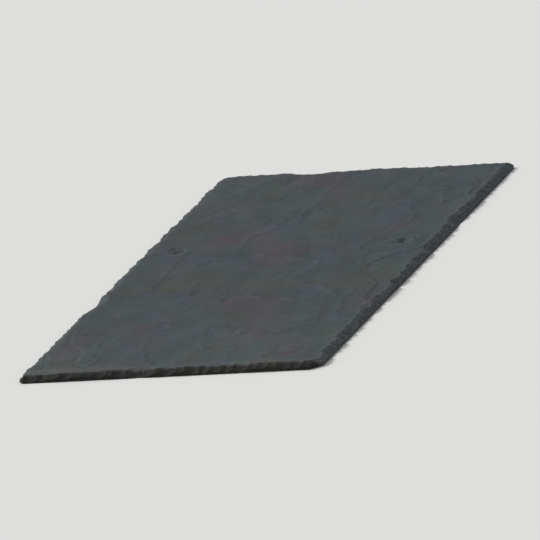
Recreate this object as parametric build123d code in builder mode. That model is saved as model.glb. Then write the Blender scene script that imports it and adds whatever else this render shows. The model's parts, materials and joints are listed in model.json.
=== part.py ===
"""A natural roofing slate: one riven sheet with dressed edges and two punched nail holes.

X runs across the slate, Y from its tail, the end that shows on the roof, up to its head, and Z
out through its face. The origin is the middle of the bed, the side that lies on the roof. Sizes
are in millimetres and degrees.

A slate is split along its cleavage, so its face and its bed are flat, with low ledges where a
thin layer ended. Its four edges are dressed by blows: each leaves an upright land next to the
bed and breaks a hollow chip out of the face. The nail holes are punched from the bed, and each
bursts a crater out of the face.
"""

from build123d import *
import itertools
import math
import os
import random

# The sheet
slate_length = 500
slate_width = 250
slate_thickness = 6.5

# Laying: a course covers the head of the slates two courses below it by the head lap
head_lap = 80

# Nail holes, just above the head of the slates two courses below
nail_hole_diameter = 4.6
nail_to_side = 30
nail_above_lap = 12

# The crater round each nail hole, and the thin flake that came away beside it
crater_diameter = 15
crater_angle = 122
crater_flake_diameter = 14
crater_flake_depth = 1.2
crater_flake_offset = 5.5

# Dressed edges: a row of blows along each edge, each off its even place by up to the wander.
# Seen from the face, each blow leaves a round chip of one of these radii, in turn, and of a
# width between the least and the most. The slope is that of the chip's floor.
blow_pitch = 9.5
blow_wander = 1.6
chip_radii = [9, 13, 10, 12]
chip_width_least = 4
chip_width_most = 8
chip_slope = 36
dressing_seed = 5

# Thin flakes that ran in from the edges, past the row of chips
edge_flake_diameter = 24
edge_flake_depth = 1.0

# Broken corners of the sheet, as a length along both edges, and the chip that each one has
corner_chip_radius = 11
corner_chip_width = 5
tail_left_break = 4
tail_right_break = 9
head_left_break = 6
head_right_break = 5

# Cleavage: one ledge steps down by the thickness of one layer
layer_thickness = 0.45

# How far a cutting shape stands out of the surface that it cuts
overshoot = 1

half_length = slate_length / 2
half_width = slate_width / 2
gauge = (slate_length - head_lap) / 2
nail_x = half_width - nail_to_side
nail_y = gauge + head_lap + nail_above_lap - half_length

# Ledges of the face as (layers down, points of the outline), and of the bed as (layers up,
# points). A point is a share of the half width and of the half length, so 1 is an edge. Each
# ledge runs from one edge of the sheet to another.
face_ledges = [
    (1, [
        (-1.2, -1.1), (-0.42, -1.14), (-0.5, -0.97), (-0.68, -0.9), (-0.72, -0.78),
        (-0.88, -0.68), (-0.86, -0.55), (-1.15, -0.46),
    ]),
    (2, [
        (-1.2, -1.1), (-0.74, -1.12), (-0.78, -0.97), (-0.9, -0.9), (-0.94, -0.8), (-1.15, -0.74),
    ]),
    (1, [
        (1.15, -0.44), (0.88, -0.36), (0.86, -0.22), (0.7, -0.12), (0.72, 0.03),
        (0.86, 0.1), (1.15, 0.12),
    ]),
    (1, [
        (-1.15, 0.46), (-0.82, 0.52), (-0.66, 0.63), (-0.4, 0.68), (-0.3, 0.82), (-0.06, 0.9),
        (0.02, 1.12), (-1.2, 1.15),
    ]),
    (2, [
        (-1.15, 0.7), (-0.86, 0.76), (-0.7, 0.9), (-0.56, 1.12), (-1.2, 1.15),
    ]),
    (1, [
        (1.15, 0.6), (0.9, 0.68), (0.84, 0.82), (0.62, 0.88), (0.52, 1.12), (1.2, 1.12),
    ]),
]
bed_ledges = [
    (1, [
        (1.15, -1.1), (0.3, -1.12), (0.38, -0.9), (0.6, -0.78), (0.64, -0.58), (0.86, -0.46),
        (0.9, -0.3), (1.15, -0.24),
    ]),
    (1, [
        (-1.15, 0.36), (-0.84, 0.42), (-0.72, 0.56), (-0.46, 0.66), (-0.4, 0.86), (-0.2, 0.94),
        (-0.14, 1.12), (-1.15, 1.1),
    ]),
]

# Spalls, where a longer piece broke off an edge: the edge, the place along it as a share of
# half that edge, the length and the width
spalls = [
    ("tail", -0.2, 38, 9.5),
    ("right", -0.74, 72, 10),
    ("right", 0.42, 44, 9.3),
    ("head", 0.36, 54, 9.8),
    ("left", 0.28, 58, 9.6),
]

# Edge flakes: the edge, and the place along it as a share of half that edge
edge_flakes = [
    ("tail", -0.52), ("tail", 0.3),
    ("right", -0.46), ("right", 0.1), ("right", 0.66),
    ("head", -0.4), ("head", 0.5),
    ("left", -0.7), ("left", -0.12), ("left", 0.44),
]

# Each corner: its side, its end and how much is broken off
corners = [
    (-1, -1, tail_left_break),
    (1, -1, tail_right_break),
    (-1, 1, head_left_break),
    (1, 1, head_right_break),
]

# Each edge: the middle of its upper arris, turned so that its own X runs along it, anticlockwise
# round the slate, and its own Y into the sheet; and its length
edges = {
    "tail": (Location((0, -half_length, slate_thickness), (0, 0, 0)), slate_width),
    "right": (Location((half_width, 0, slate_thickness), (0, 0, 90)), slate_length),
    "head": (Location((0, half_length, slate_thickness), (0, 0, 180)), slate_width),
    "left": (Location((-half_width, 0, slate_thickness), (0, 0, 270)), slate_length),
}


def on_sheet(point):
    """A point given as shares of the half width and the half length, in millimetres."""
    across, along = point
    return (across * half_width, along * half_length)


def arc_radius(chord, height):
    """The radius of the arc that spans that chord and rises by that height."""
    return ((chord / 2) ** 2 + height**2) / (2 * height)


def hollow(radius):
    """A cutting cone that points down, with its middle, and that radius, at the origin's height."""
    rise = math.tan(math.radians(chip_slope))
    with Locations((0, 0, -radius * rise)):
        Cone(
            bottom_radius=0,
            top_radius=radius + overshoot / rise,
            height=radius * rise + overshoot,
            align=(Align.CENTER, Align.CENTER, Align.MIN),
            mode=Mode.SUBTRACT,
        )


def dress_edges():
    """The middles of the chips of all four edges, listed by the radius that they have."""
    chance = random.Random(dressing_seed)
    places = {radius: [] for radius in chip_radii}
    next_radius = itertools.cycle(chip_radii)
    for middle, length in edges.values():
        spaces = round(length / blow_pitch)
        for n in range(spaces + 1):
            radius = next(next_radius)
            along = n * length / spaces - length / 2 + chance.uniform(-blow_wander, blow_wander)
            inward = chance.uniform(chip_width_least, chip_width_most) - radius
            places[radius].append(middle * Location((along, inward, 0)))
    return places


with BuildPart() as slate:
    # The sheet, with its corners broken off
    with BuildSketch():
        sheet = Rectangle(slate_width, slate_length)
        for side, end, cut in corners:
            corner = sheet.vertices().sort_by_distance((side * half_width, end * half_length))[0]
            chamfer(corner, cut)
    extrude(amount=slate_thickness)

    # Cleavage ledges of the face, then of the bed
    for layers, outline in face_ledges:
        with BuildSketch(Plane.XY.offset(slate_thickness - layers * layer_thickness)):
            with BuildLine():
                Spline(*[on_sheet(point) for point in outline], periodic=True)
            make_face()
        extrude(amount=layers * layer_thickness + overshoot, mode=Mode.SUBTRACT)
    for layers, outline in bed_ledges:
        with BuildSketch(Plane.XY.offset(layers * layer_thickness)):
            with BuildLine():
                Spline(*[on_sheet(point) for point in outline], periodic=True)
            make_face()
        extrude(amount=-layers * layer_thickness - overshoot, mode=Mode.SUBTRACT)

    # Chips of the dressed edges. Those of one radius don't meet, so they are cut at once.
    for radius, places in dress_edges().items():
        with Locations(*places):
            hollow(radius)

    # Chips on the broken corners
    for side, end, cut in corners:
        out = (corner_chip_radius - corner_chip_width) / math.sqrt(2) - cut / 2
        with Locations((side * (half_width + out), end * (half_length + out), slate_thickness)):
            hollow(corner_chip_radius)

    # Spalls
    for edge, share, spall_length, spall_width in spalls:
        middle, length = edges[edge]
        spall_radius = arc_radius(spall_length, spall_width)
        with Locations(middle * Location((share * length / 2, spall_width - spall_radius, 0))):
            hollow(spall_radius)

    # Thin flakes that ran in from the edges
    edge_ball = arc_radius(edge_flake_diameter, edge_flake_depth)
    for edge, share in edge_flakes:
        middle, length = edges[edge]
        with Locations(middle * Location((share * length / 2, 0, edge_ball - edge_flake_depth))):
            Sphere(edge_ball, mode=Mode.SUBTRACT)

    # Nail holes with their craters, and a flake beside each crater
    with Locations((-nail_x, nail_y, slate_thickness), (nail_x, nail_y, slate_thickness)):
        CounterSinkHole(
            radius=nail_hole_diameter / 2,
            counter_sink_radius=crater_diameter / 2,
            counter_sink_angle=crater_angle,
        )
    crater_ball = arc_radius(crater_flake_diameter, crater_flake_depth)
    crater_ball_height = slate_thickness + crater_ball - crater_flake_depth
    flake_reach = crater_flake_offset / math.sqrt(2)
    with Locations(
        (-nail_x - flake_reach, nail_y + flake_reach, crater_ball_height),
        (nail_x - flake_reach, nail_y - flake_reach, crater_ball_height),
    ):
        Sphere(crater_ball, mode=Mode.SUBTRACT)

slate.part.label = "slate"
os.makedirs("parts", exist_ok=True)
export_step(slate.part, "parts/slate.step")
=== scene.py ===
"""A natural roofing slate on a pale floor, seen as the photograph sees the slates of its roof.

Everything is in metres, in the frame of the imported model: X runs across the slate, Y from its
tail up to its head, and Z out through its face. The CAD slate has the outline, the chips, the
ledges and the nail holes. The mesh made here follows it, and adds the relief of the riven stone.
"""

import functools
import itertools
import json
import math
import bpy
import numpy as np
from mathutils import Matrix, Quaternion, Vector, geometry, kdtree, noise
from mathutils.bvhtree import BVHTree
from typing import Callable, NamedTuple


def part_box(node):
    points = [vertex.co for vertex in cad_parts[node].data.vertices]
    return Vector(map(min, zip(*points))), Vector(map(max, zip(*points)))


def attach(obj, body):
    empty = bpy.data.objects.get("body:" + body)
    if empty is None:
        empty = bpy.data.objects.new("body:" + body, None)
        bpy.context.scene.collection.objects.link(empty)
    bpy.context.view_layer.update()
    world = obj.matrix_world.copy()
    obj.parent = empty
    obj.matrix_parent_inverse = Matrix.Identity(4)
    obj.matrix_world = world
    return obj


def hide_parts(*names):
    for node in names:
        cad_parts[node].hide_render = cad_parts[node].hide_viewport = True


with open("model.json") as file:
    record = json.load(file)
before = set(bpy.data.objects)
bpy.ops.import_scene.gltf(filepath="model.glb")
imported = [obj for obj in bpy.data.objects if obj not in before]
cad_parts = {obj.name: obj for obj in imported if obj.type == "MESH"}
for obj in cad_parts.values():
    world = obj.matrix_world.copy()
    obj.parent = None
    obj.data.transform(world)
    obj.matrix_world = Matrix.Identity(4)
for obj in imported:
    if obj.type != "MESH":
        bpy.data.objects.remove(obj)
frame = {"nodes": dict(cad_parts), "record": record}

mm = 0.001
up = Vector((0, 0, 1))
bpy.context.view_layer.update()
low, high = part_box("slate")
face_height = high.z

# The view of the photograph, in degrees and metres, with the lens as Blender takes it
camera_azimuth = 21.2
camera_elevation = 16.4
camera_roll = 9.2
camera_distance = 12.25
camera_lens = 1040
camera_sees_to = 100

# The studio: a square floor, a wide sun that stands in this direction, and an even white world
floor_side = 120
sun_place = (-2.9, 0.4, 2.5)
sun_strength = 2.4
sun_angle = 30
world_strength = 0.5

# The part of the face that the photograph shows: below the tails of the next course
gauge = 210 * mm
shown_end = low.y + gauge

# The edges of the mesh. The outline is found by rays from outside, at these heights. They aim at
# a rectangle that lies this far inside the slate, and fan out round its corners.
edge_step = 0.65 * mm
corner_steps = 26
hole_steps = 30
aim_inset = 16 * mm
aim_distance = 60 * mm
aim_heights = (0.03 * mm, 0.6 * mm)

# The sides of the mesh: square cells with a point in each, split in four while they are larger
# than the largest, or while they are larger than the smallest and not flat enough. Each point is
# moved by up to half the jitter, a share of its cell, by noise of this many squares to the metre.
first_cell = 4.8 * mm
face_cell_largest = 2.4 * mm
face_cell_smallest = 0.6 * mm
face_flat_enough = 0.045 * mm
bed_cell_largest = 4.8 * mm
bed_cell_smallest = 0.6 * mm
bed_flat_enough = 0.15 * mm
point_jitter = 0.3
jitter_squares = 7919

# How far such a point keeps from the outline, as a share of its cell or of the edge step, and
# from a nail hole, as a length and a share of its cell
outline_gap_share = 0.45
hole_gap = 0.3 * mm
hole_gap_share = 0.4

# The walls of the mesh: rows of faces from the bed up to the face, with dents
wall_rows = 4
edge_dent = 0.45 * mm
hole_dent = 0.2 * mm
dent_size = 3 * mm
dent_height = 0.55 * mm
full_dent_wall = 1.2 * mm

# The heights of both sides are read by rays from this far away, and that of the face at the
# outline a little inside it. The face stays this far above the bed at an edge, and above this
# height elsewhere.
look_distance = 10 * mm
edge_inset = 0.05 * mm
thinnest_edge = 0.12 * mm
lowest_face = 0.42 * mm

# Edges of the mesh that turn by more degrees than this look sharp
sharp_angle = 32

# A square is plain where the face is level, within this, in it and for two squares round it
plain_square = 4 * mm
plain_within = 0.01 * mm

# Nibbles, which are taken off the outline and off the rim of a nail hole
edge_nibble = 0.35 * mm
edge_nibble_least = 0.0105 * mm
edge_nibble_size = 2.2 * mm
hole_nibble = 0.36 * mm
hole_nibble_least = 0.02 * mm
hole_nibble_size = 1.4 * mm

# The relief of a split side: a swell, cleavage layers, scars and a fine grain along the slate.
# The layers are counted to the metre, and their wander and raggedness are in layers.
swell_depth = 0.4 * mm
swell_size = 55 * mm
layer_depth = 0.26 * mm
layers_across = 12
layers_along = 5
layer_wander = 1.3
layer_wander_size = 70 * mm
layer_raggedness = 0.3
layer_ragged_size = 15 * mm
layer_crispness = 3.6
layer_crispness_change = 2.8
layer_crispness_size = 34 * mm
scar_depth = 0.03 * mm
scar_steps = 4
scar_crispness = 2.5
scar_size = 13 * mm
grain_depth = 0.06 * mm
grain_size = 4.5 * mm
bed_relief = 0.6

# A ledge of the CAD stone falls in this many steps, close together in some places and apart in
# others. The steps fade into one towards the outline, between these distances from it.
ledge_steps = 3
ledge_spread = 3 * mm
ledge_closest = 0.22
ledge_parting_size = 24 * mm
ledge_wander = 0.6
ledge_wander_size = 20 * mm
step_wander = 0.8
step_wander_size = 9 * mm
ledge_fade = (6 * mm, 14 * mm)

# How ragged the chips and ledges are. This too fades between two distances from the outline. It
# never takes the face lower than the lowest.
face_raggedness = 1.3 * mm
face_ragged_size = 6 * mm
face_ragged_fade = (1.5 * mm, 5 * mm)
lowest_ragged = 0.5 * mm
bed_raggedness = 4 * mm
bed_ragged_size = 14 * mm
bed_ragged_fade = (1 * mm, 10 * mm)

# Broken stone, in rough layers. Its shape sets in between the first two depths below the face,
# and its look between the second two. The relief of the split fades out between the last two.
chip_layer = 0.85 * mm
chip_layering = 0.7
chip_crispness = 2.0
chip_wander = 0.35 * mm
chip_wander_size = 5.5 * mm
chip_roughness = 0.1 * mm
chip_rough_size = 1.5 * mm
broken_depths = (1.1 * mm, 1.7 * mm)
broken_look_depths = (0.9 * mm, 1.8 * mm)
relief_fade_depths = (0.2 * mm, 4 * mm)

# Marks of use and weather, a dark band at the tail that is partly a stain and partly painted shade,
# and an olive band below the end of the shown part. Each fades between two distances from the
# sides, the tail or the end of the shown part, and wanders by up to its wander. Those of the face
# set in at these heights.
bruise_fade = (5 * mm, 15 * mm)
worn_fade = (17 * mm, 30 * mm)
worn_wander = 18 * mm
worn_width = 110 * mm
stain_and_shade_fade = (1 * mm, 4 * mm)
stain_and_shade_wander = 6 * mm
lap_band_rise = (-16 * mm, 2 * mm)
lap_band_fade = (3.5 * mm, 5 * mm)
lap_band_wander = 8 * mm
face_marks_rise = (2 * mm, 4 * mm)

# Relief too fine for the mesh
flake_bump = 0.07 * mm
streak_bump = 0.1 * mm
pit_bump = 0.07 * mm
strata_bump = 0.25 * mm


def clamp(value, least=0.0, most=1.0):
    """The value, kept between the least and the most."""
    return min(max(value, least), most)


def ramp(value, start, end):
    """0 up to the start, 1 from the end on, and smooth between them."""
    share = clamp((value - start) / (end - start))
    return share * share * (3 - 2 * share)


def inside(x, y, start, end):
    """0 up to the start from the sides of the slate's box, 1 from the end on, smooth between."""
    return ramp(high.x - abs(x), start, end) * ramp(high.y - abs(y), start, end)


def chance(x, y, size, octaves=3, seed=0.0, stretch=1.0):
    """Smooth noise, about -1 to 1, of that size in metres, drawn out along Y by the stretch."""
    place = (x / size, y / (size * stretch), seed)
    return noise.fractal(place, 1.0, 2.0, octaves, noise_basis="PERLIN_ORIGINAL")


def portion(x, y, size, octaves=3, seed=0.0, stretch=1.0):
    """The same noise, but about 0 to 1."""
    return 0.5 + 0.5 * chance(x, y, size, octaves, seed, stretch)


def shift(x, y, most, size, octaves, seed, stretch=1.0):
    """Noise as a shift along X and Y, of up to about the most."""
    return (
        most * chance(x, y, size, octaves, seed, stretch),
        most * chance(x, y, size, octaves, seed + 16, stretch),
    )


def heading(degrees):
    """The plan direction at that angle from X, anticlockwise."""
    angle = math.radians(degrees)
    return Vector((math.cos(angle), math.sin(angle)))


def pairs(ring):
    """Each member of a closed ring with the next one."""
    return itertools.pairwise([*ring, ring[0]])


class CadSlate:
    """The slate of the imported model, asked for its heights and its outline."""

    def __init__(self, node):
        corners = [v.co for v in node.data.vertices]
        self.tree = BVHTree.FromPolygons(corners, [tuple(p.vertices) for p in node.data.polygons])

    def height(self, start, direction):
        """The height at which a ray meets the slate, or None."""
        hit = self.tree.ray_cast(start, direction)[0]
        return None if hit is None else hit.z

    def face(self, x, y):
        """The height of the face side there, or None off the slate."""
        return self.height(Vector((x, y, high.z + look_distance)), -up)

    def bed(self, x, y):
        """The height of the bed side there, or None off the slate."""
        return self.height(Vector((x, y, low.z - look_distance)), up)

    def is_plain(self, x, y):
        """Whether the face is level there and about as far round it as a ledge strays."""
        return self.is_plain_square(math.floor(x / plain_square), math.floor(y / plain_square))

    @functools.cache
    def is_plain_square(self, column, row):
        """Whether the face is level in this square and for two squares round it."""
        heights = [
            self.face((column + i / 2) * plain_square, (row + j / 2) * plain_square)
            for i in range(-4, 7) for j in range(-4, 7)
        ]
        return None not in heights and max(heights) - min(heights) <= plain_within

    def reach(self, start, out):
        """How far the slate reaches in plan from a point inside it, in the direction out."""
        reach = 0
        for height in aim_heights:
            far = Vector((*start, height)) + out.to_3d() * aim_distance
            distance = self.tree.ray_cast(far, -out.to_3d())[3]
            if distance is not None:
                reach = max(reach, aim_distance - distance)
        return reach


cad_slate = CadSlate(frame["nodes"]["slate"])

# The middle and the radius of each nail hole
holes = [
    (Vector(mount["pos_m"][:2]), mount["dims"]["r_mm"] * mm)
    for mount in frame["record"]["mounts"] if mount["kind"] == "bore"
]


def terraces(level, crisp):
    """A level turned into flat treads with a riser between each two, narrower where it is crisp."""
    step = math.floor(level)
    half_riser = 0.4 / crisp
    return step + ramp(level - step, 0.5 - half_riser, 0.5 + half_riser)


def riven(x, y, seed):
    """How far a side that was split along the cleavage lies below its highest level.

    The split runs at a slight slant to the cleavage layers. It follows one layer for a stretch,
    as a tread, and then breaks through to the next one, as a ragged riser.
    """
    swell = portion(x, y, swell_size, octaves=2, seed=seed + 1.7, stretch=1.6)
    slant = x * layers_across + y * layers_along
    slant += layer_wander * chance(x, y, layer_wander_size, 2, seed=seed + 12.3, stretch=1.8)
    ragged = layer_raggedness * chance(x, y, layer_ragged_size, 5, seed=seed + 5.2, stretch=1.6)
    crisp_change = layer_crispness_change * chance(x, y, layer_crispness_size, 1, seed=seed + 3.9)
    treads = terraces(slant + ragged, layer_crispness + crisp_change)
    layers = layer_raggedness + treads - slant
    scars = terraces(scar_steps * portion(x, y, scar_size, 3, seed + 6.4, 1.8), scar_crispness)
    grain = portion(x, y, grain_size, octaves=2, seed=seed + 4.4, stretch=6.0)
    lost = swell_depth * swell + layer_depth * layers + scar_depth * scars + grain_depth * grain
    return max(lost, 0)


def ledges_at(x, y, plain):
    """The CAD height of the face, with ragged ledges whose thinner steps part in places.

    A step strays towards the middle of the slate or away from it, which is across every ledge.
    A step that strays off the slate or into broken stone has the plain height.
    """
    free = inside(x, y, *ledge_fade)
    from_middle = max(math.hypot(x, y), 1 * mm)
    parted = ramp(chance(x, y, ledge_parting_size, octaves=1, seed=57.0), -0.2, 0.4)
    parted = max(parted, ledge_closest)
    together = ledge_wander * chance(x, y, ledge_wander_size, seed=50.0, stretch=1.6)
    ragged_x, ragged_y = shift(x, y, free * face_raggedness, face_ragged_size, 3, seed=31.0)
    total = 0
    for n in range(ledge_steps):
        own = n - (ledge_steps - 1) / 2
        own += step_wander * chance(x, y, step_wander_size, seed=60.0 + 9 * n)
        stray = free * ledge_spread * (together + parted * own) / from_middle
        height = cad_slate.face(x * (1 + stray) + ragged_x, y * (1 + stray) + ragged_y)
        if height is None or face_height - height > broken_depths[0]:
            height = plain
        total += height
    return total / ledge_steps


def ragged_face(x, y, plain):
    """The CAD height of the face a little to one side, so that chips and ledges are ragged."""
    most = face_raggedness * inside(x, y, *face_ragged_fade)
    ragged_x, ragged_y = shift(x, y, most, face_ragged_size, 4, seed=31.0)
    height = cad_slate.face(x + ragged_x, y + ragged_y) or 0
    return height if height > lowest_ragged else plain


def chipped(x, y, cad):
    """The height of broken stone, which follows the CAD in rough layers."""
    wandering = cad + chip_wander * chance(x, y, chip_wander_size, octaves=4, seed=71.0)
    layered = terraces(wandering / chip_layer, chip_crispness) * chip_layer
    rough = chip_roughness * (chance(x, y, chip_rough_size, octaves=2, seed=83.0) - 1)
    return cad + chip_layering * (layered - cad) + rough


def face_height_at(x, y, at_edge=False):
    """The height of the finished face side there, or None off the slate."""
    cad = cad_slate.face(x, y)
    if cad is None:
        return None
    relief = riven(x, y, seed=0.0)
    if cad_slate.is_plain(x, y):
        return cad - relief
    if not at_edge:
        cad = ragged_face(x, y, cad)
    missing = face_height - cad
    height = ledges_at(x, y, cad) - (1 - ramp(missing, *relief_fade_depths)) * relief
    broken = ramp(missing, *broken_depths)
    if broken > 0:
        height += broken * (chipped(x, y, cad) - height)
    return min(height, face_height)


def bed_height_at(x, y):
    """The height of the finished bed side there, with its ledges ragged."""
    most = bed_raggedness * inside(x, y, *bed_ragged_fade)
    ragged_x, ragged_y = shift(x, y, most, bed_ragged_size, 4, seed=231.0, stretch=1.4)
    cad = cad_slate.bed(x + ragged_x, y + ragged_y) or 0
    return cad + bed_relief * riven(x, y, seed=200.0)


class Side(NamedTuple):
    """The face or the bed: its height at a place, and the cells that its mesh is made from."""

    height_at: Callable
    largest: float
    smallest: float
    flat_enough: float


class Loop(NamedTuple):
    """A closed edge of the slate, as plan points with the direction into the stone at each.

    It runs anticlockwise round the slate and clockwise round a nail hole. The height of the face
    at a point is read a little into the stone, by the inset. The dent and the seed are those of
    the wall between bed and face.
    """

    points: list
    into: list
    inset: float
    dent: float
    seed: float


def rays():
    """Points inside the slate, each with a direction out of it, all the way round."""
    x, y = high.x - aim_inset, high.y - aim_inset
    corners = [Vector((x, -y)), Vector((x, y)), Vector((-x, y)), Vector((-x, -y))]
    for turn, (corner, following) in zip((0, 90, 180, 270), pairs(corners)):
        for n in range(corner_steps):
            yield corner, heading(turn - 90 + 90 * n / corner_steps)
        steps = round((following - corner).length / edge_step)
        for n in range(steps):
            yield corner.lerp(following, n / steps), heading(turn)


def outline():
    """The outline of the slate, nibbled."""
    points = []
    into = []
    for start, out in rays():
        edge = start + out * cad_slate.reach(start, out)
        nibble = edge_nibble * portion(edge.x, edge.y, edge_nibble_size, seed=5.1)
        points.append(edge - out * clamp(nibble, edge_nibble_least, edge_nibble))
        into.append(-out)
    return Loop(points, into, edge_inset, edge_dent, seed=60.0)


def hole_rim(centre, radius):
    """The rim of a nail hole, nibbled, but never narrower than the hole."""
    points = []
    into = []
    for n in range(hole_steps):
        out = heading(-360 * n / hole_steps)
        edge = centre + out * radius
        nibble = hole_nibble * portion(edge.x, edge.y, hole_nibble_size, octaves=2, seed=9.4)
        points.append(edge + out * max(nibble, hole_nibble_least))
        into.append(out)
    return Loop(points, into, 0.0, hole_dent, seed=90.0)


def numbered(loops):
    """The numbers of the points of each loop, counted on from one loop to the next."""
    count = itertools.count()
    return [[next(count) for point in loop.points] for loop in loops]


def is_flat(side, x, y, size):
    """Whether a square cell is near enough to flat, by its middle and corners and by its fall.

    A cell at the rim of a nail hole isn't.
    """
    if any(math.hypot(x - centre.x, y - centre.y) < radius + size for centre, radius in holes):
        return False
    heights = [side.height_at(x, y)]
    for i in (-0.5, 0.5):
        for j in (-0.5, 0.5):
            heights.append(side.height_at(x + i * size, y + j * size))
    heights = [height for height in heights if height is not None]
    if not heights:
        return True
    bulge = abs(heights[0] - sum(heights) / len(heights))
    return bulge < side.flat_enough and max(heights) - min(heights) < 3 * side.flat_enough


def split(side, x, y, size):
    """The middles and sizes of the square cells that this one is split into, or its own."""
    rounding = 1.01
    too_large = size > side.largest
    if too_large or (size > side.smallest * rounding and not is_flat(side, x, y, size)):
        half = size / 2
        for i in (-0.5, 0.5):
            for j in (-0.5, 0.5):
                yield from split(side, x + i * half, y + j * half, half)
    else:
        yield x, y, size


def cells(side):
    """The middles and sizes of the square cells of one side, over the box of the slate."""
    across = math.ceil(2 * high.x / first_cell)
    along = math.ceil(2 * high.y / first_cell)
    for i in range(across):
        for j in range(along):
            x = (i + 0.5 - across / 2) * first_cell
            y = (j + 0.5 - along / 2) * first_cell
            yield from split(side, x, y, first_cell)


def jittered(x, y, size):
    """A point near the middle of a cell, so that the points of the mesh form no rows."""
    x += point_jitter * size * (noise.cell((x * jitter_squares, y * jitter_squares, 1.5)) - 0.5)
    y += point_jitter * size * (noise.cell((x * jitter_squares, y * jitter_squares, 7.5)) - 0.5)
    return Vector((x, y))


def inner_points(side, edge):
    """The points of one side within the outline, clear of its edge and of the nail holes."""
    near = kdtree.KDTree(len(edge.points))
    for n, point in enumerate(edge.points):
        near.insert(point.to_3d(), n)
    near.balance()
    points = []
    for x, y, size in cells(side):
        point = jittered(x, y, size)
        nearest = near.find(point.to_3d())[1]
        from_edge = (point - edge.points[nearest]).dot(edge.into[nearest])
        if from_edge < outline_gap_share * min(size, edge_step):
            continue
        gap = hole_gap + hole_gap_share * size
        if all((point - centre).length >= radius + gap for centre, radius in holes):
            points.append(point)
    return points


def is_within(point, ring):
    """Whether a plan point lies inside a closed ring of points."""
    within = False
    for a, b in pairs(ring):
        if (a.y > point.y) != (b.y > point.y):
            if point.x < a.x + (point.y - a.y) / (b.y - a.y) * (b.x - a.x):
                within = not within
    return within


def plan(side, loops):
    """Triangles of one side of the slate, as plan points and triples of their numbers.

    The points of the loops come first. A point that no triangle needs is left out.
    """
    only_inside = 1
    least_apart = 1e-9
    points = [point for loop in loops for point in loop.points]
    of_loops = len(points)
    edges = [edge for ring in numbered(loops) for edge in pairs(ring)]
    points += inner_points(side, loops[0])
    placed, _, triangles, *_ = geometry.delaunay_2d_cdt(points, edges, [], only_inside, least_apart)
    assert len(placed) == len(points), "the triangulation merged or added points"

    def fills_hole(triangle):
        """Whether it lies in a nail hole, where all points are of the loops."""
        middle = (placed[triangle[0]] + placed[triangle[1]] + placed[triangle[2]]) / 3
        return max(triangle) < of_loops and any(is_within(middle, rim.points) for rim in loops[1:])

    kept = [triangle for triangle in triangles if not fills_hole(triangle)]
    used = sorted({n for triangle in kept for n in triangle})
    number = {old: new for new, old in enumerate(used)}
    return [placed[n] for n in used], [tuple(number[n] for n in triangle) for triangle in kept]


def face_heights(points, loops, bed_heights):
    """The heights of the plan points of the face, which stays clear of the bed."""
    heights = []
    for loop in loops:
        for point, into in zip(loop.points, loop.into):
            x, y = point + into * loop.inset
            heights.append(face_height_at(x, y, at_edge=True) or 0)
    of_loops = len(heights)
    heights += [face_height_at(x, y) or 0 for x, y in points[of_loops:]]
    least = [bed_height + thinnest_edge for bed_height in bed_heights[:of_loops]]
    least += [lowest_face] * (len(points) - of_loops)
    return [max(pair) for pair in zip(heights, least)]


class Skin:
    """The mesh of the slate under construction, with how broken the stone is at each point."""

    def __init__(self):
        self.points = []
        self.broken = []
        self.faces = []

    def add_sides(self, loops):
        """Adds the bed and the face, and returns how many points the bed has."""
        bed = Side(bed_height_at, bed_cell_largest, bed_cell_smallest, bed_flat_enough)
        face = Side(face_height_at, face_cell_largest, face_cell_smallest, face_flat_enough)
        bed_points, bed_triangles = plan(bed, loops)
        face_points, face_triangles = plan(face, loops)
        below = [bed_height_at(x, y) for x, y in bed_points]
        above = face_heights(face_points, loops, below)
        self.points = [(x, y, z) for (x, y), z in zip(bed_points + face_points, below + above)]
        self.broken = [0.0] * len(below)
        self.broken += [ramp(face_height - height, *broken_look_depths) for height in above]
        self.faces = [(c, b, a) for a, b, c in bed_triangles]
        self.faces += [tuple(len(below) + n for n in triangle) for triangle in face_triangles]
        return len(below)

    def add_wall(self, loop, lower, upper):
        """Joins the points of a loop on the bed to those on the face, by their numbers."""
        rows = [lower]
        for row in range(1, wall_rows):
            first = len(self.points)
            for a, b, into in zip(lower, upper, loop.into):
                foot = Vector(self.points[a])
                top = Vector(self.points[b])
                point = foot.lerp(top, row / wall_rows)
                level = point.z / dent_height
                dent = clamp(portion(point.x, point.y, dent_size, 2, seed=loop.seed + level))
                dent *= loop.dent * min((top.z - foot.z) / full_dent_wall, 1)
                self.points.append(tuple(point + into.to_3d() * dent))
                self.broken.append(1.0)
            rows.append(range(first, len(self.points)))
        rows.append(upper)
        for below, above in itertools.pairwise(rows):
            for (a, b), (c, d) in zip(pairs(below), pairs(above)):
                self.faces.append((a, b, d, c))


def read(data, name, width, kind=float):
    """One property of mesh data as an array, with a row of that width for each item."""
    values = np.empty(width * len(data), kind)
    data.foreach_get(name, values)
    return values.reshape(-1, width)


def bulges(mesh):
    """How far each point stands out of its neighbours, as a share of its distance from them."""
    places = read(mesh.vertices, "co", 3)
    normals = read(mesh.vertex_normals, "vector", 3)
    a, b = read(mesh.edges, "vertices", 2, int).T
    count = len(places)
    neighbours = np.bincount(a, minlength=count) + np.bincount(b, minlength=count)

    def mean(at_a, at_b):
        """The mean at each point of the numbers that its edges have at that end."""
        return (np.bincount(a, at_a, count) + np.bincount(b, at_b, count)) / neighbours

    def around(values):
        """The mean of the neighbours of each point."""
        return mean(values[b], values[a])

    middle = np.stack([around(places[:, axis]) for axis in range(3)], 1)
    lengths = np.linalg.norm(places[a] - places[b], axis=1)
    found = ((places - middle) * normals).sum(1) / mean(lengths, lengths)
    return 0.5 * (found + around(found))


def store(mesh, name, values):
    """Stores a number for each point of a mesh, under the name that the material reads."""
    mesh.attributes.new(name, "FLOAT", "POINT").data.foreach_set("value", values)


def add_object(name, data):
    """A new object in the scene."""
    made = bpy.data.objects.new(name, data)
    bpy.context.scene.collection.objects.link(made)
    return made


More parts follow.
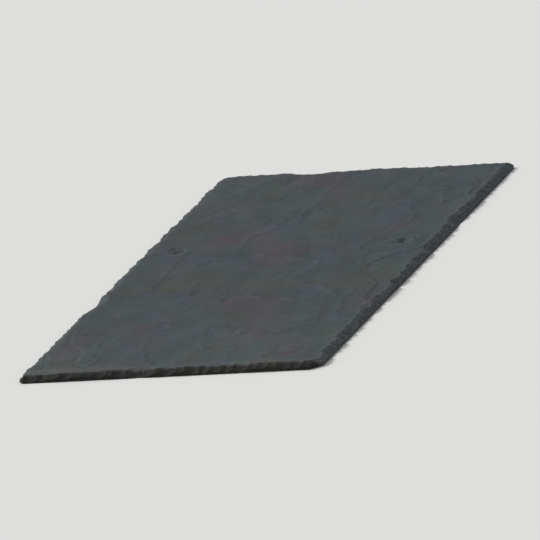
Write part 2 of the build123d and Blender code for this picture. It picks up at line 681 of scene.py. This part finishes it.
def make_slate():
    """The riven slate as one closed mesh."""
    loops = [outline()] + [hole_rim(centre, radius) for centre, radius in holes]
    skin = Skin()
    start = skin.add_sides(loops)
    for loop, lower in zip(loops, numbered(loops)):
        skin.add_wall(loop, lower, [start + n for n in lower])
    mesh = bpy.data.meshes.new("riven_slate")
    mesh.from_pydata(skin.points, [], skin.faces)
    store(mesh, "broken", skin.broken)
    store(mesh, "bulge", bulges(mesh))
    mesh.shade_smooth()
    mesh.set_sharp_from_angle(angle=math.radians(sharp_angle))
    return add_object("riven_slate", mesh)


def colour(red, green, blue):
    """A colour written as 0 to 255 for the screen, as the shader takes it, by the sRGB curve."""
    parts = []
    for part in (red, green, blue):
        part /= 255
        parts.append(part / 12.92 if part <= 0.04045 else ((part + 0.055) / 1.055) ** 2.4)
    return (*parts, 1)


blue_grey = colour(60, 67, 72)
green_grey = colour(61, 68, 67)
purple_grey = colour(68, 65, 71)
broken_grey = colour(70, 76, 79)
bruised_grey = colour(86, 90, 89)
worn_grey = colour(89, 89, 83)
# The band at the tail: a stain, darkened further as painted shade, in two colours
stain_and_shade_black = colour(29, 33, 36)
stain_and_shade_brown = colour(44, 41, 30)
lap_olive = colour(66, 67, 59)
floor_white = colour(222, 222, 220)


class Paint:
    """A material under construction. An input is a value or the output of another node."""

    def __init__(self, name):
        self.material = bpy.data.materials.new(name)
        self.material.use_nodes = True
        self.tree = self.material.node_tree
        self.shader = self.tree.nodes["Principled BSDF"]
        self.place = self.node("TexCoord").outputs["Object"]
        self.x, self.y, self.z = self.node("SeparateXYZ", {"Vector": self.place}).outputs

    def node(self, kind, inputs=None, **settings):
        """A new node, with its inputs by name or by number."""
        made = self.tree.nodes.new("ShaderNode" + kind)
        for name, value in settings.items():
            setattr(made, name, value)
        for name, value in (inputs or {}).items():
            self.plug(made.inputs[name], value)
        return made

    def plug(self, socket, value):
        """Gives a socket its value, or the output that it is linked to."""
        if isinstance(value, bpy.types.NodeSocket):
            self.tree.links.new(value, socket)
        else:
            socket.default_value = value

    def attribute(self, name):
        """A number that the mesh stores for each point."""
        return self.node("Attribute", attribute_name=name).outputs["Fac"]

    def noise(self, size, detail=3, stretch=1, roughness=0.55, layers=1, seed=0.0):
        """Noise from 0 to 1 of that size, drawn out along Y, and squeezed along Z by the layers."""
        scale = (1 / size, 1 / (size * stretch), layers / size)
        scaled = self.node(
            "VectorMath", {0: self.place, 1: scale, 2: (seed, seed, seed)},
            operation="MULTIPLY_ADD")
        made = self.node("TexNoise", {
            "Vector": scaled.outputs[0], "Scale": 1.0, "Detail": detail, "Roughness": roughness})
        return made.outputs["Fac"]

    def ramp(self, value, start, end, at_start=0.0, at_end=1.0):
        """One number up to the start, another from the end on, and smooth between them."""
        made = self.node("MapRange", {
            "Value": value, "From Min": start, "From Max": end, "To Min": at_start,
            "To Max": at_end}, interpolation_type="SMOOTHSTEP")
        return made.outputs["Result"]

    def math(self, operation, a, b=0.0):
        """The result of a Math node."""
        return self.node("Math", {0: a, 1: b}, operation=operation).outputs[0]

    def plus(self, a, b):
        """The sum of two numbers."""
        return self.math("ADD", a, b)

    def minus(self, a, b):
        """One number less another."""
        return self.math("SUBTRACT", a, b)

    def times(self, a, b):
        """The product of two numbers."""
        return self.math("MULTIPLY", a, b)

    def mix(self, factor, a, b, blend="MIX"):
        """Colour a where the factor is 0, turning into colour b where it is 1."""
        factor_input, a_input, b_input, colour_output = 0, 6, 7, 2
        inputs = {factor_input: factor, a_input: a, b_input: b}
        made = self.node("Mix", inputs, data_type="RGBA", blend_type=blend)
        return made.outputs[colour_output]

    def brighten(self, base, value, least, most):
        """The colour times a number that runs from least to most as the value goes up.

        It runs over the middle half of 0 to 1, where most of a noise lies.
        """
        factor = self.ramp(value, 0.25, 0.75, least, most)
        grey = self.node("CombineColor", {"Red": factor, "Green": factor, "Blue": factor})
        return self.mix(1.0, base, grey.outputs[0], "MULTIPLY")

    def treads(self, value, count):
        """That many slanting treads with steep risers between them, from -0.4 to 0.4."""
        share = self.math("FRACT", self.times(value, count))
        return self.minus(self.ramp(share, 0.38, 0.62), share)

    def bump(self, height, depth, below=None, strength=1.0):
        """A bump of that depth, laid over the one below."""
        inputs = {"Height": height, "Distance": depth, "Strength": strength}
        if below is not None:
            inputs["Normal"] = below
        return self.node("Bump", inputs).outputs[0]


def flakes(paint):
    """Thin flakes with steep ends, which come in patches."""
    patches = paint.ramp(paint.noise(22 * mm, detail=2, stretch=1.5, seed=12.5), 0.44, 0.62)
    cleavage = paint.noise(24 * mm, detail=6, stretch=2.2, roughness=0.5, seed=3.9)
    return paint.times(paint.treads(cleavage, 6), patches)


def riven_stone(paint, thin_flakes, streaks):
    """The colour of the split stone: soft patches of three greys, with finer light and dark."""
    green = paint.ramp(paint.noise(40 * mm, stretch=1.3, seed=3.1), 0.42, 0.66)
    purple = paint.ramp(paint.noise(52 * mm, stretch=1.5, seed=8.7), 0.5, 0.7)
    stone = paint.mix(green, blue_grey, green_grey)
    stone = paint.mix(purple, stone, purple_grey)
    clouds = paint.noise(24 * mm, detail=6, stretch=1.6, seed=1.9)
    near_tail = paint.ramp(paint.y, low.y, shown_end, 1.0, 0.0)
    specks = paint.noise(0.5 * mm, detail=2, seed=2.2)
    stone = paint.brighten(stone, clouds, 0.88, 1.12)
    stone = paint.brighten(stone, paint.plus(thin_flakes, 0.5), 0.95, 1.05)
    stone = paint.brighten(stone, near_tail, 0.96, 1.06)
    stone = paint.brighten(stone, streaks, 0.93, 1.07)
    return paint.brighten(stone, specks, 0.9, 1.1)


def with_breaks(paint, stone, broken, strata):
    """The stone with broken places, in thin strata, with a painted highlight on its arrises and
    darker hollows that are partly dirt and partly painted shade.
    """
    broken_stone = paint.brighten(broken_grey, strata, 0.72, 1.2)
    broken_stone = paint.brighten(broken_stone, paint.noise(1.6 * mm, seed=6.6), 0.86, 1.12)
    stone = paint.mix(paint.times(broken, 0.8), stone, broken_stone)
    out_of_plane = paint.ramp(paint.attribute("bulge"), -0.07, 0.07)
    # Lighter arrises are a painted highlight; darker hollows are partly dirt and partly painted
    # shade
    return paint.brighten(stone, out_of_plane, 0.84, 1.2)


def with_wear(paint, stone, from_tail, on_face):
    """The stone with bruised flecks along its edges, and a worn strip above its tail."""
    from_side = paint.minus(high.x, paint.math("ABSOLUTE", paint.x))
    from_end = paint.minus(high.y, paint.math("ABSOLUTE", paint.y))
    from_edge = paint.math("MINIMUM", from_side, from_end)
    fleck_noise = paint.noise(3.4 * mm, detail=4, stretch=1.4, roughness=0.6, seed=15.3)
    flecks = paint.ramp(fleck_noise, 0.52, 0.64)
    bruised = paint.times(paint.ramp(from_edge, *bruise_fade, 0.6, 0.0), flecks)
    stone = paint.mix(bruised, stone, bruised_grey)

    wander = paint.times(paint.noise(16 * mm, detail=4, seed=19.3), worn_wander)
    worn = paint.ramp(paint.plus(from_tail, wander), *worn_fade, 1.0, 0.0)
    worn = paint.times(worn, paint.ramp(paint.x, low.x, low.x + worn_width, 0.95, 0.2))
    worn = paint.times(worn, paint.ramp(flecks, 0.0, 1.0, 0.6, 1.0))
    return paint.mix(paint.times(worn, on_face), stone, worn_grey)


def with_stain_and_shade(paint, stone, from_tail, on_face):
    """The stone with a dark band at its tail, partly a stain and partly painted shade, and an olive
    band below where the next course ended.
    """
    # The dark band at the tail is partly a stain and partly painted shade
    wander = paint.times(paint.noise(9 * mm, detail=4, seed=7.4), stain_and_shade_wander)
    stained_and_shaded = paint.ramp(paint.minus(from_tail, wander), *stain_and_shade_fade, 1.0, 0.0)
    stain_and_shade = paint.mix(paint.noise(22 * mm, seed=17.9), stain_and_shade_black, stain_and_shade_brown)
    stone = paint.mix(paint.times(stained_and_shaded, 0.95), stone, stain_and_shade)

    # An olive band, a little darker than the stone, below where the next course ended
    wander = paint.times(paint.noise(14 * mm, detail=4, seed=2.8), lap_band_wander)
    from_lap = paint.plus(paint.minus(paint.y, shown_end), wander)
    below = paint.ramp(from_lap, *lap_band_rise)
    above = paint.ramp(from_lap, *lap_band_fade, 0.5, 0.0)
    lap_band = paint.times(paint.times(below, above), on_face)
    return paint.mix(lap_band, stone, lap_olive)


def slate_material():
    """Riven slate: blue-grey in faint patches, lighter where broken, painted highlight on its
    arrises, dark at its tail by stain and painted shade.
    """
    paint = Paint("slate_stone")
    broken = paint.attribute("broken")
    thin_flakes = flakes(paint)
    streaks = paint.noise(1.5 * mm, detail=5, stretch=8, seed=5.5)
    strata = paint.noise(6 * mm, roughness=0.6, layers=24, seed=4.0)
    from_tail = paint.minus(paint.y, low.y)
    on_face = paint.ramp(paint.z, *face_marks_rise)

    stone = riven_stone(paint, thin_flakes, streaks)
    stone = with_breaks(paint, stone, broken, strata)
    stone = with_wear(paint, stone, from_tail, on_face)
    stone = with_stain_and_shade(paint, stone, from_tail, on_face)
    paint.plug(paint.shader.inputs["Base Color"], stone)

    sheen = paint.ramp(paint.noise(30 * mm, detail=5, stretch=1.8, seed=9.1), 0.3, 0.7, 0.6, 0.74)
    rough = paint.math("MAXIMUM", sheen, paint.ramp(broken, 0.1, 0.6, 0.0, 0.82))
    paint.plug(paint.shader.inputs["Roughness"], rough)
    paint.plug(paint.shader.inputs["Specular IOR Level"], 0.2)

    normal = paint.bump(thin_flakes, flake_bump)
    normal = paint.bump(streaks, streak_bump, normal)
    normal = paint.bump(paint.noise(0.8 * mm, seed=6.1), pit_bump, normal)
    normal = paint.bump(strata, strata_bump, normal, strength=paint.times(broken, 0.8))
    paint.plug(paint.shader.inputs["Normal"], normal)
    return paint.material


def floor_material():
    """Pale, matt and plain."""
    material = bpy.data.materials.new("floor_paint")
    material.use_nodes = True
    shader = material.node_tree.nodes["Principled BSDF"]
    shader.inputs["Base Color"].default_value = floor_white
    shader.inputs["Roughness"].default_value = 0.9
    return material


def make_floor():
    """A plain pale floor, large enough for low views."""
    half = floor_side / 2
    corners = [(-half, -half, 0), (half, -half, 0), (half, half, 0), (-half, half, 0)]
    mesh = bpy.data.meshes.new("floor")
    mesh.from_pydata(corners, [], [(0, 1, 2, 3)])
    mesh.materials.append(floor_material())
    floor = add_object("floor", mesh)


def make_sun():
    """A wide, soft light, the same all over the floor."""
    lamp = bpy.data.lights.new("key", "SUN")
    lamp.energy = sun_strength
    lamp.angle = math.radians(sun_angle)
    light = add_object("key", lamp)
    light.location = sun_place
    light.rotation_mode = "QUATERNION"
    light.rotation_quaternion = (-Vector(sun_place)).to_track_quat("-Z", "Y")


def make_world():
    """Even white light from all round."""
    world = bpy.data.worlds.new("studio")
    world.use_nodes = True
    background = world.node_tree.nodes["Background"]
    background.inputs["Strength"].default_value = world_strength
    background.inputs["Color"].default_value = (1, 1, 1, 1)
    bpy.context.scene.world = world


def make_camera():
    """The camera of the photograph: its azimuth, elevation, roll and distance from the slate."""
    azimuth = math.radians(camera_azimuth)
    elevation = math.radians(camera_elevation)
    back = Vector((
        math.sin(azimuth) * math.cos(elevation),
        -math.cos(azimuth) * math.cos(elevation),
        math.sin(elevation),
    ))
    lens = bpy.data.cameras.new("camera")
    lens.lens = camera_lens
    lens.clip_end = camera_sees_to
    camera = add_object("camera", lens)
    camera.location = (low + high) / 2 + back * camera_distance
    camera.rotation_mode = "QUATERNION"
    turn = Quaternion((0, 0, 1), math.radians(-camera_roll))
    camera.rotation_quaternion = (-back).to_track_quat("-Z", "Y") @ turn
    bpy.context.scene.camera = camera


slate = make_slate()
slate.data.materials.append(slate_material())
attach(slate, "root")
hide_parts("slate")

make_floor()
make_sun()
make_world()
make_camera()

bpy.context.scene.view_settings.view_transform = "Standard"
